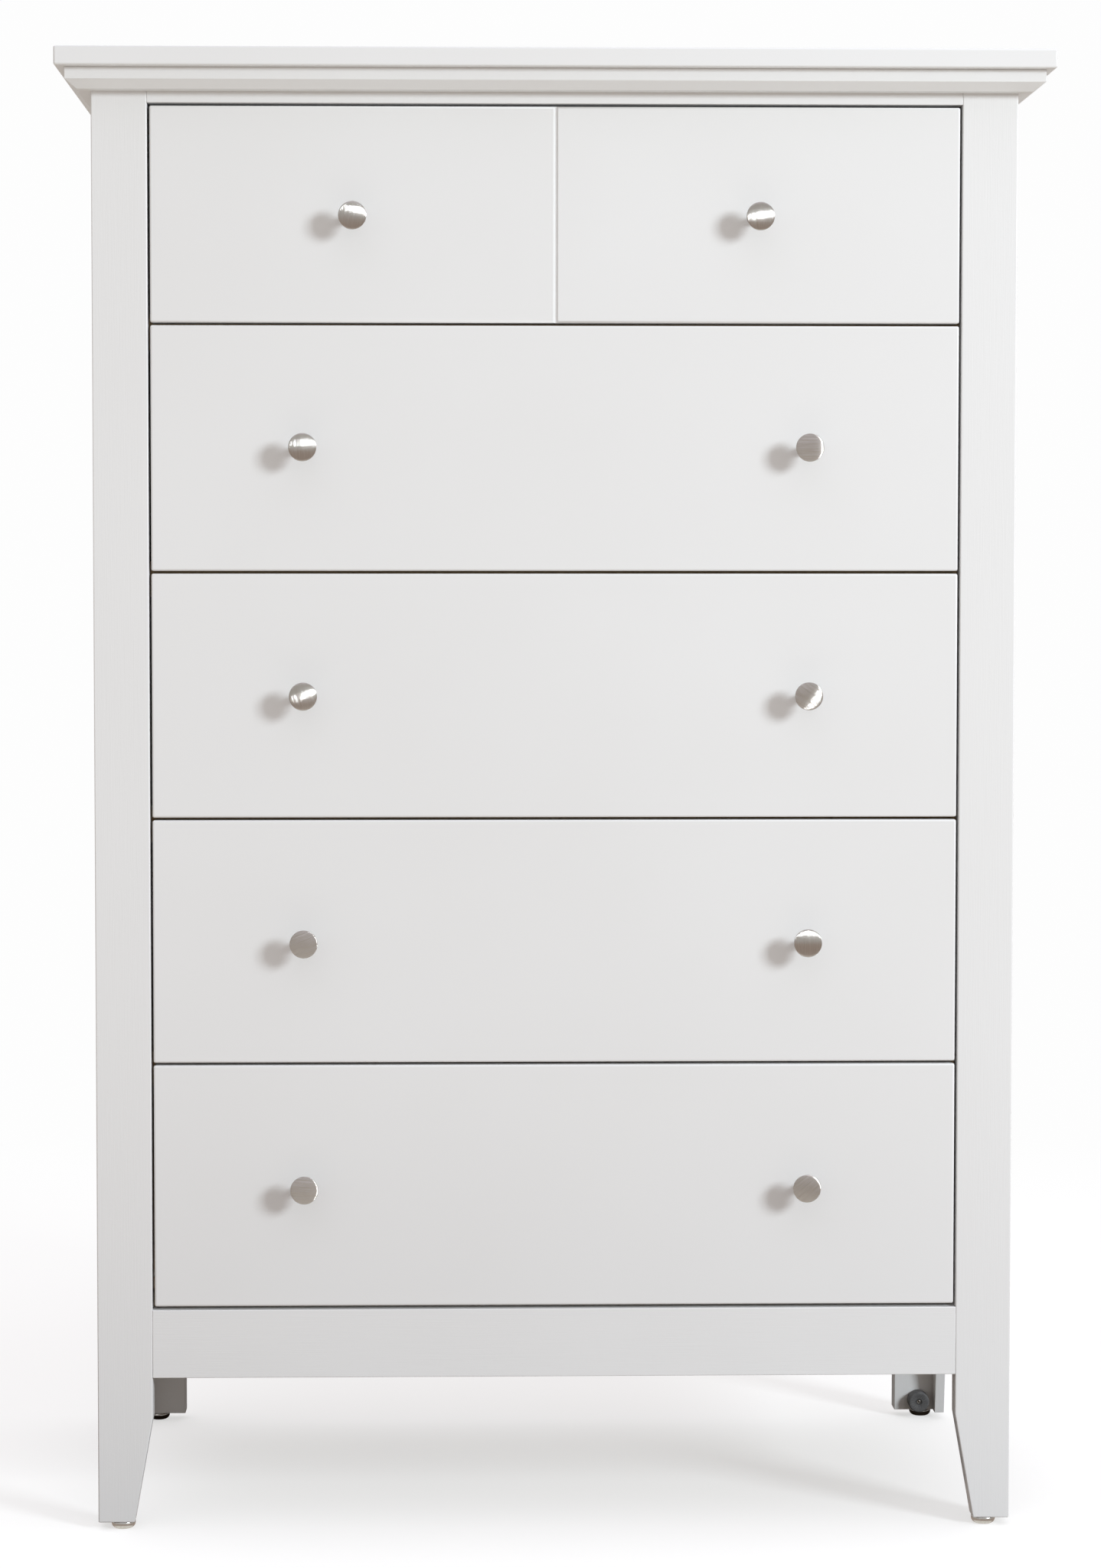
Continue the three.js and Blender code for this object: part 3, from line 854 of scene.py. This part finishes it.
# ---- the drawers ----
def drawer_front(n):
    low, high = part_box("drawer_front_%d" % n)
    shape = ease(block(low, high), FRONT_EASE, lambda middle: middle.y < high.y - 1 * MM, segments=4)
    if n == 1:
        half, floor, depth = SPLIT["half_width"], SPLIT["half_floor"], SPLIT["depth"]
        clear = 1 * MM
        slope = (half - floor) / depth
        groove = [
            (-half - slope * clear, low.y - clear),
            (half + slope * clear, low.y - clear),
            (floor, low.y + depth),
            (-floor, low.y + depth),
        ]
        shape = carve(shape, prism("z", low.z - clear, high.z + clear, groove))
    name = "drawer_%d_front" % n
    piece(name, shape, LACQUER, "drawer_%d" % n, ["drawer_front_%d" % n])


def tail_edges(low, high, start, way, thick):
    """One end of a drawer side, from bottom to top, as (y, z): dovetails that reach out to start."""
    pitch = (high - low) / TAILS
    root = start - way * thick
    points = [(root, low)]
    for i in range(TAILS):
        middle = low + pitch * (i + 0.5)
        points += [
            (root, middle - pitch * TAIL_ROOT + JOINT_GAP),
            (start, middle - pitch * TAIL_END + JOINT_GAP),
            (start, middle + pitch * TAIL_END - JOINT_GAP),
            (root, middle + pitch * TAIL_ROOT - JOINT_GAP),
        ]
    return points + [(root, high)]


def socket_edges(low, high, outer, inner, share):
    """One end of a drawer's front or back, from bottom to top, as (x, z), with a socket for each tail."""
    pitch = (high - low) / TAILS
    points = [(outer, low)]
    for i in range(TAILS):
        middle = low + pitch * (i + 0.5)
        points += [
            (outer, middle - pitch * share),
            (inner, middle - pitch * share),
            (inner, middle + pitch * share),
            (outer, middle + pitch * share),
        ]
    return points + [(outer, high)]


def drawer_box(n):
    """Two sides and two ends, dovetailed together, grooved for the bottom."""
    body = "drawer_%d" % n
    low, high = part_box("drawer_box_%d" % n)
    panel_low, panel_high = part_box("drawer_bottom_%d" % n)
    slack = 0.25 * MM
    groove = (panel_low - Vector((slack,) * 3), panel_high + Vector((slack,) * 3))
    node = ["drawer_box_%d" % n]
    close = 0.1 * MM

    def on_top(middle):
        return middle.z > high.z - close

    for side, sign in SIDES:
        front_end = tail_edges(low.z, high.z, low.y, -1, BOX_WALL)
        rear_end = tail_edges(low.z, high.z, high.y, 1, BOX_WALL)
        outline = front_end + rear_end[::-1]
        outer = sign * high.x
        shape = prism("x", outer - sign * BOX_WALL, outer, outline)
        shape = carve(shape, block(*groove))
        ease(shape, BOX_TOP_EASE, on_top)
        piece("drawer_%d_side_%s" % (n, side), shape, BIRCH_Y, body, node)
    notch, notch_top = 24 * MM, panel_low.z
    for name, y0, y1, shares in (
        ("inner_front", low.y, low.y + BOX_WALL, (TAIL_END, TAIL_ROOT)),
        ("back", high.y - BOX_WALL, high.y, (TAIL_ROOT, TAIL_END)),
    ):
        rings = []
        for y, share in ((y0, shares[0]), (y1, shares[1])):
            right = socket_edges(low.z, high.z, high.x, high.x - BOX_WALL, share)
            left = [(-x, z) for x, z in reversed(right)]
            cut = [(-notch, low.z), (-notch, notch_top), (notch, notch_top), (notch, low.z)]
            rings.append(across("y", y, right + left + cut))
        shape = carve(loft(rings), block(*groove))
        ease(shape, BOX_TOP_EASE, lambda middle: on_top(middle) and abs(middle.x) < high.x - BOX_WALL)
        piece("drawer_%d_%s" % (n, name), shape, BIRCH_X, body, node)


def drawer_bottom(n):
    node = "drawer_bottom_%d" % n
    shape = ease(block(*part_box(node)), SHEET_EASE, segments=2)
    piece("drawer_%d_bottom" % n, shape, BIRCH_X, "drawer_%d" % n, [node])


def drawer_runner(n):
    """The steel channel under a drawer, which runs on the case's rail."""
    node = "drawer_runner_%d" % n
    low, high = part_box(node)
    half, lip = high.x, 12 * MM
    right = [
        (half, high.z),
        (half, low.z),
        (lip, low.z),
        (lip, low.z + STEEL),
        (half - STEEL, low.z + STEEL),
        (half - STEEL, high.z - STEEL),
    ]
    outline = right + [(-x, z) for x, z in reversed(right)]
    shape = ease(prism("y", low.y, high.y, outline), SHEET_EASE, segments=2)
    made = object_of("drawer_%d_runner" % n, shape)
    run_tree(made, PUNCHED, ZINC, First=low.y + 30 * MM, Step=40 * MM, Level=high.z, Count=7)
    settle(made, ZINC, "drawer_%d" % n, [node])


def rear_guide(n):
    """The nylon guide behind a drawer, an arch that rides over the case's rail, and its two screws."""
    body = "drawer_%d" % n
    box_low, box_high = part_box("drawer_box_%d" % n)
    rail_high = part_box("centre_rail_%d" % n)[1]
    thick, play, clear = 3.5 * MM, 0.8 * MM, 0.05 * MM
    half, corner = 30 * MM, 6 * MM
    foot, crown = box_low.z + 0.4 * MM, box_low.z + 26 * MM
    leg, arch = rail_high.x + play, rail_high.z + play
    outline = [
        (half, foot),
        (half, crown - corner),
        (half - corner, crown),
        (corner - half, crown),
        (-half, crown - corner),
        (-half, foot),
        (-leg, foot),
        (-leg, arch),
        (leg, arch),
        (leg, foot),
    ]
    shape = ease(prism("y", box_high.y + clear, box_high.y + thick, outline), 0.5 * MM)
    piece("drawer_%d_rear_guide" % n, shape, NYLON, body)
    screw_out = 24 * MM
    heads = [((sign * screw_out, box_high.y + thick, (foot + crown) / 2), (0, 1, 0)) for _, sign in SIDES]
    set_out("drawer_%d_guide_screws" % n, SCREWS, heads, ZINC, body, "zinc_steel", Radius=3.0 * MM)


def knob_profile(length, radius):
    """From the drawer outwards: a small rose, a slim neck, and a thin round head with a crowned face."""
    crown, edge, wall = 1.9 * MM, 0.35 * MM, 1.3 * MM
    rim = length - crown
    back = rim - wall
    bend = (radius * radius + crown * crown) / (2 * crown)
    face = [(radius - edge) * (1 - i / 10) for i in range(11)]
    dome = [(r, length - bend + (bend * bend - r * r) ** 0.5) for r in face]
    neck, rose, chamfer = 3.6 * MM, 6 * MM, 0.4 * MM
    low_sweep, high_sweep = 2.4 * MM, 3.4 * MM
    return [
        (0, 0),
        (rose, 0),
        (rose, 0.7 * MM),
        (rose - chamfer, 1.2 * MM),
        *arc((neck + low_sweep, 3.6 * MM), low_sweep, 250, 180, 4),
        *arc((neck + high_sweep, back - 5.2 * MM), high_sweep, 180, 108, 5),
        (radius - 1.4 * MM, back - 0.7 * MM),
        (radius - 0.4 * MM, back - 0.25 * MM),
        (radius, back + 0.3 * MM),
        (radius, rim - edge * 0.8),
        (radius - edge * 0.3, rim - edge * 0.2),
        *dome,
    ]


# How far each knob's brushing is turned from upright, in degrees: a knob stops wherever its thread is tight.
BRUSHING = {
    ("left", 1): -10,
    ("right", 1): 8,
    ("left", 2): 3,
    ("right", 2): 90,
    ("left", 3): 20,
    ("right", 3): 55,
    ("left", 4): 112,
    ("right", 4): 0,
    ("left", 5): 86,
    ("right", 5): 128,
}


def knobs(n):
    body = "drawer_%d" % n
    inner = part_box("drawer_box_%d" % n)[0].y + BOX_WALL
    heads = []
    for side, _ in SIDES:
        node = "knob_%s_%d" % (side, n)
        low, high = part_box(node)
        centre = Vector(((low.x + high.x) / 2, high.y, (low.z + high.z) / 2))
        shape = turned(knob_profile(high.y - low.y, (high.x - low.x) / 2), centre, (0, -1, 0), 56)
        turn = -radians(BRUSHING[side, n])
        look = finish("brushed_nickel_%s_%d" % (side, n), lambda place: brushed(place, centre, turn), METAL)
        piece("drawer_%d_knob_%s" % (n, side), shape, look, body, [node])
        heads.append(((centre.x, inner, centre.z), (0, 1, 0)))
    head = {"Radius": 4.2 * MM, "Height": 2.4 * MM}
    set_out("drawer_%d_knob_bolts" % n, SCREWS, heads, ZINC, body, "zinc_steel", **head)


def front_screws(n):
    """The screws that hold a drawer's front to its box, from inside."""
    low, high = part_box("drawer_box_%d" % n)
    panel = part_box("drawer_bottom_%d" % n)[1].z
    inner = low.y + BOX_WALL
    xs = [share * high.x for share in (-0.86, -0.29, 0.29, 0.86)]
    zs = [panel + 28 * MM, high.z - 30 * MM]
    heads = [((x, inner, z), (0, 1, 0)) for x in xs for z in zs]
    set_out("drawer_%d_front_screws" % n, SCREWS, heads, ZINC, "drawer_%d" % n, "zinc_steel")


# ---- camera, light and floor ----
def camera():
    eye = Vector((-0.1015, -2.9901, 0.7867))
    look_down, look_right = 0.0465, 0.0214
    data = bpy.data.cameras.new("camera")
    data.lens = 78.37
    data.sensor_width = 36
    data.shift_x, data.shift_y = 0.0289, -0.0274
    made = bpy.data.objects.new("camera", data)
    made.location = eye
    made.rotation_euler = (pi / 2 - look_down, 0, -look_right)
    bpy.context.scene.collection.objects.link(made)
    bpy.context.scene.camera = made


def key_light():
    """A square soft light, low and to the right, that faces the middle of the fronts."""
    turn, tilt, distance, target = radians(48), radians(17.5), 5.2, (0, -0.18, 0.62)
    way = Vector((sin(turn) * cos(tilt), -cos(turn) * cos(tilt), sin(tilt)))
    data = bpy.data.lights.new("key", "AREA")
    data.shape = "RECTANGLE"
    data.size = data.size_y = 1.15
    data.energy = 184
    data.color = (0.88, 0.95, 1.0)
    made = bpy.data.objects.new("key", data)
    made.location = Vector(target) + way * distance
    made.rotation_euler = (-way).to_track_quat("-Z", "Y").to_euler()
    bpy.context.scene.collection.objects.link(made)


def surroundings():
    """A room near white to the camera. For the chest it has a lit ceiling, dim walls and a lit floor."""
    world = bpy.data.worlds.new("studio")
    world.use_nodes = True
    tree = world.node_tree
    tree.nodes.clear()
    start = Term(tree)
    seen = start.add("ShaderNodeLightPath", output="Is Camera Ray")
    up = start.add("ShaderNodeTexCoord", output="Generated").axes()[2]
    below = up.within(-0.72, -0.55).tint((0.87, 0.84, 0.78), (0.45, 0.375, 0.325))
    walls = up.within(-0.15, 0.02).tint(below, (0.575, 0.56, 0.54))
    room = up.within(0.62, 0.8).tint(walls, (1.05, 1.02, 1.1))
    colour = seen.tint(room, BACKGROUND)
    shader = start.add("ShaderNodeBackground", None, {"Color": colour, "Strength": 1.0})
    start.add("ShaderNodeOutputWorld", None, {"Surface": shader})
    bpy.context.scene.world = world


def floor():
    """The floor that the camera sees, and two dark sheets under the chest, hidden from the camera, that throw
    back only what light reaches them: one is painted shade in the light that the lower parts get from below,
    the other a painted dark reflection in shiny parts near the floor.
    """
    spread, corners = 14.0, 64
    shape = bmesh.new()
    turns = [2 * pi * i / corners for i in range(corners)]
    shape.faces.new([shape.verts.new((spread * cos(turn), spread * sin(turn), 0)) for turn in turns])
    made = object_of("floor", shape)
    made.data.materials.append(FLOOR)
    made.visible_glossy = False
    made.visible_diffuse = False
    half_width, rear, under, top = 0.7, 0.6, -4 * MM, -1 * MM
    # Painted shade and painted reflection: dark brown sheets that stand for the shaded floor under the chest.
    for name, front, in_gloss in (("mat_for_shade", -0.45, False), ("painted_dark_reflection_mat", -0.05, True)):
        shade_sheet = object_of(name, block((-half_width, front, under), (half_width, rear, top)))
        shade_sheet.data.materials.append(PAINTED_SHADE_MAT)
        shade_sheet.visible_camera = False
        shade_sheet.visible_glossy = in_gloss
        shade_sheet.visible_diffuse = not in_gloss
        shade_sheet.visible_shadow = False


def studio():
    camera()
    surroundings()
    floor()
    key_light()
    bpy.context.scene.view_settings.view_transform = "Standard"


studio()
top_panel()
mouldings()
legs()
side_panels()
rails()
corner_blocks()
back()
glides()
bumper()
centre_rails()
for n in DRAWERS:
    drawer_front(n)
    drawer_box(n)
    drawer_bottom(n)
    drawer_runner(n)
    rear_guide(n)
    knobs(n)
    front_screws(n)
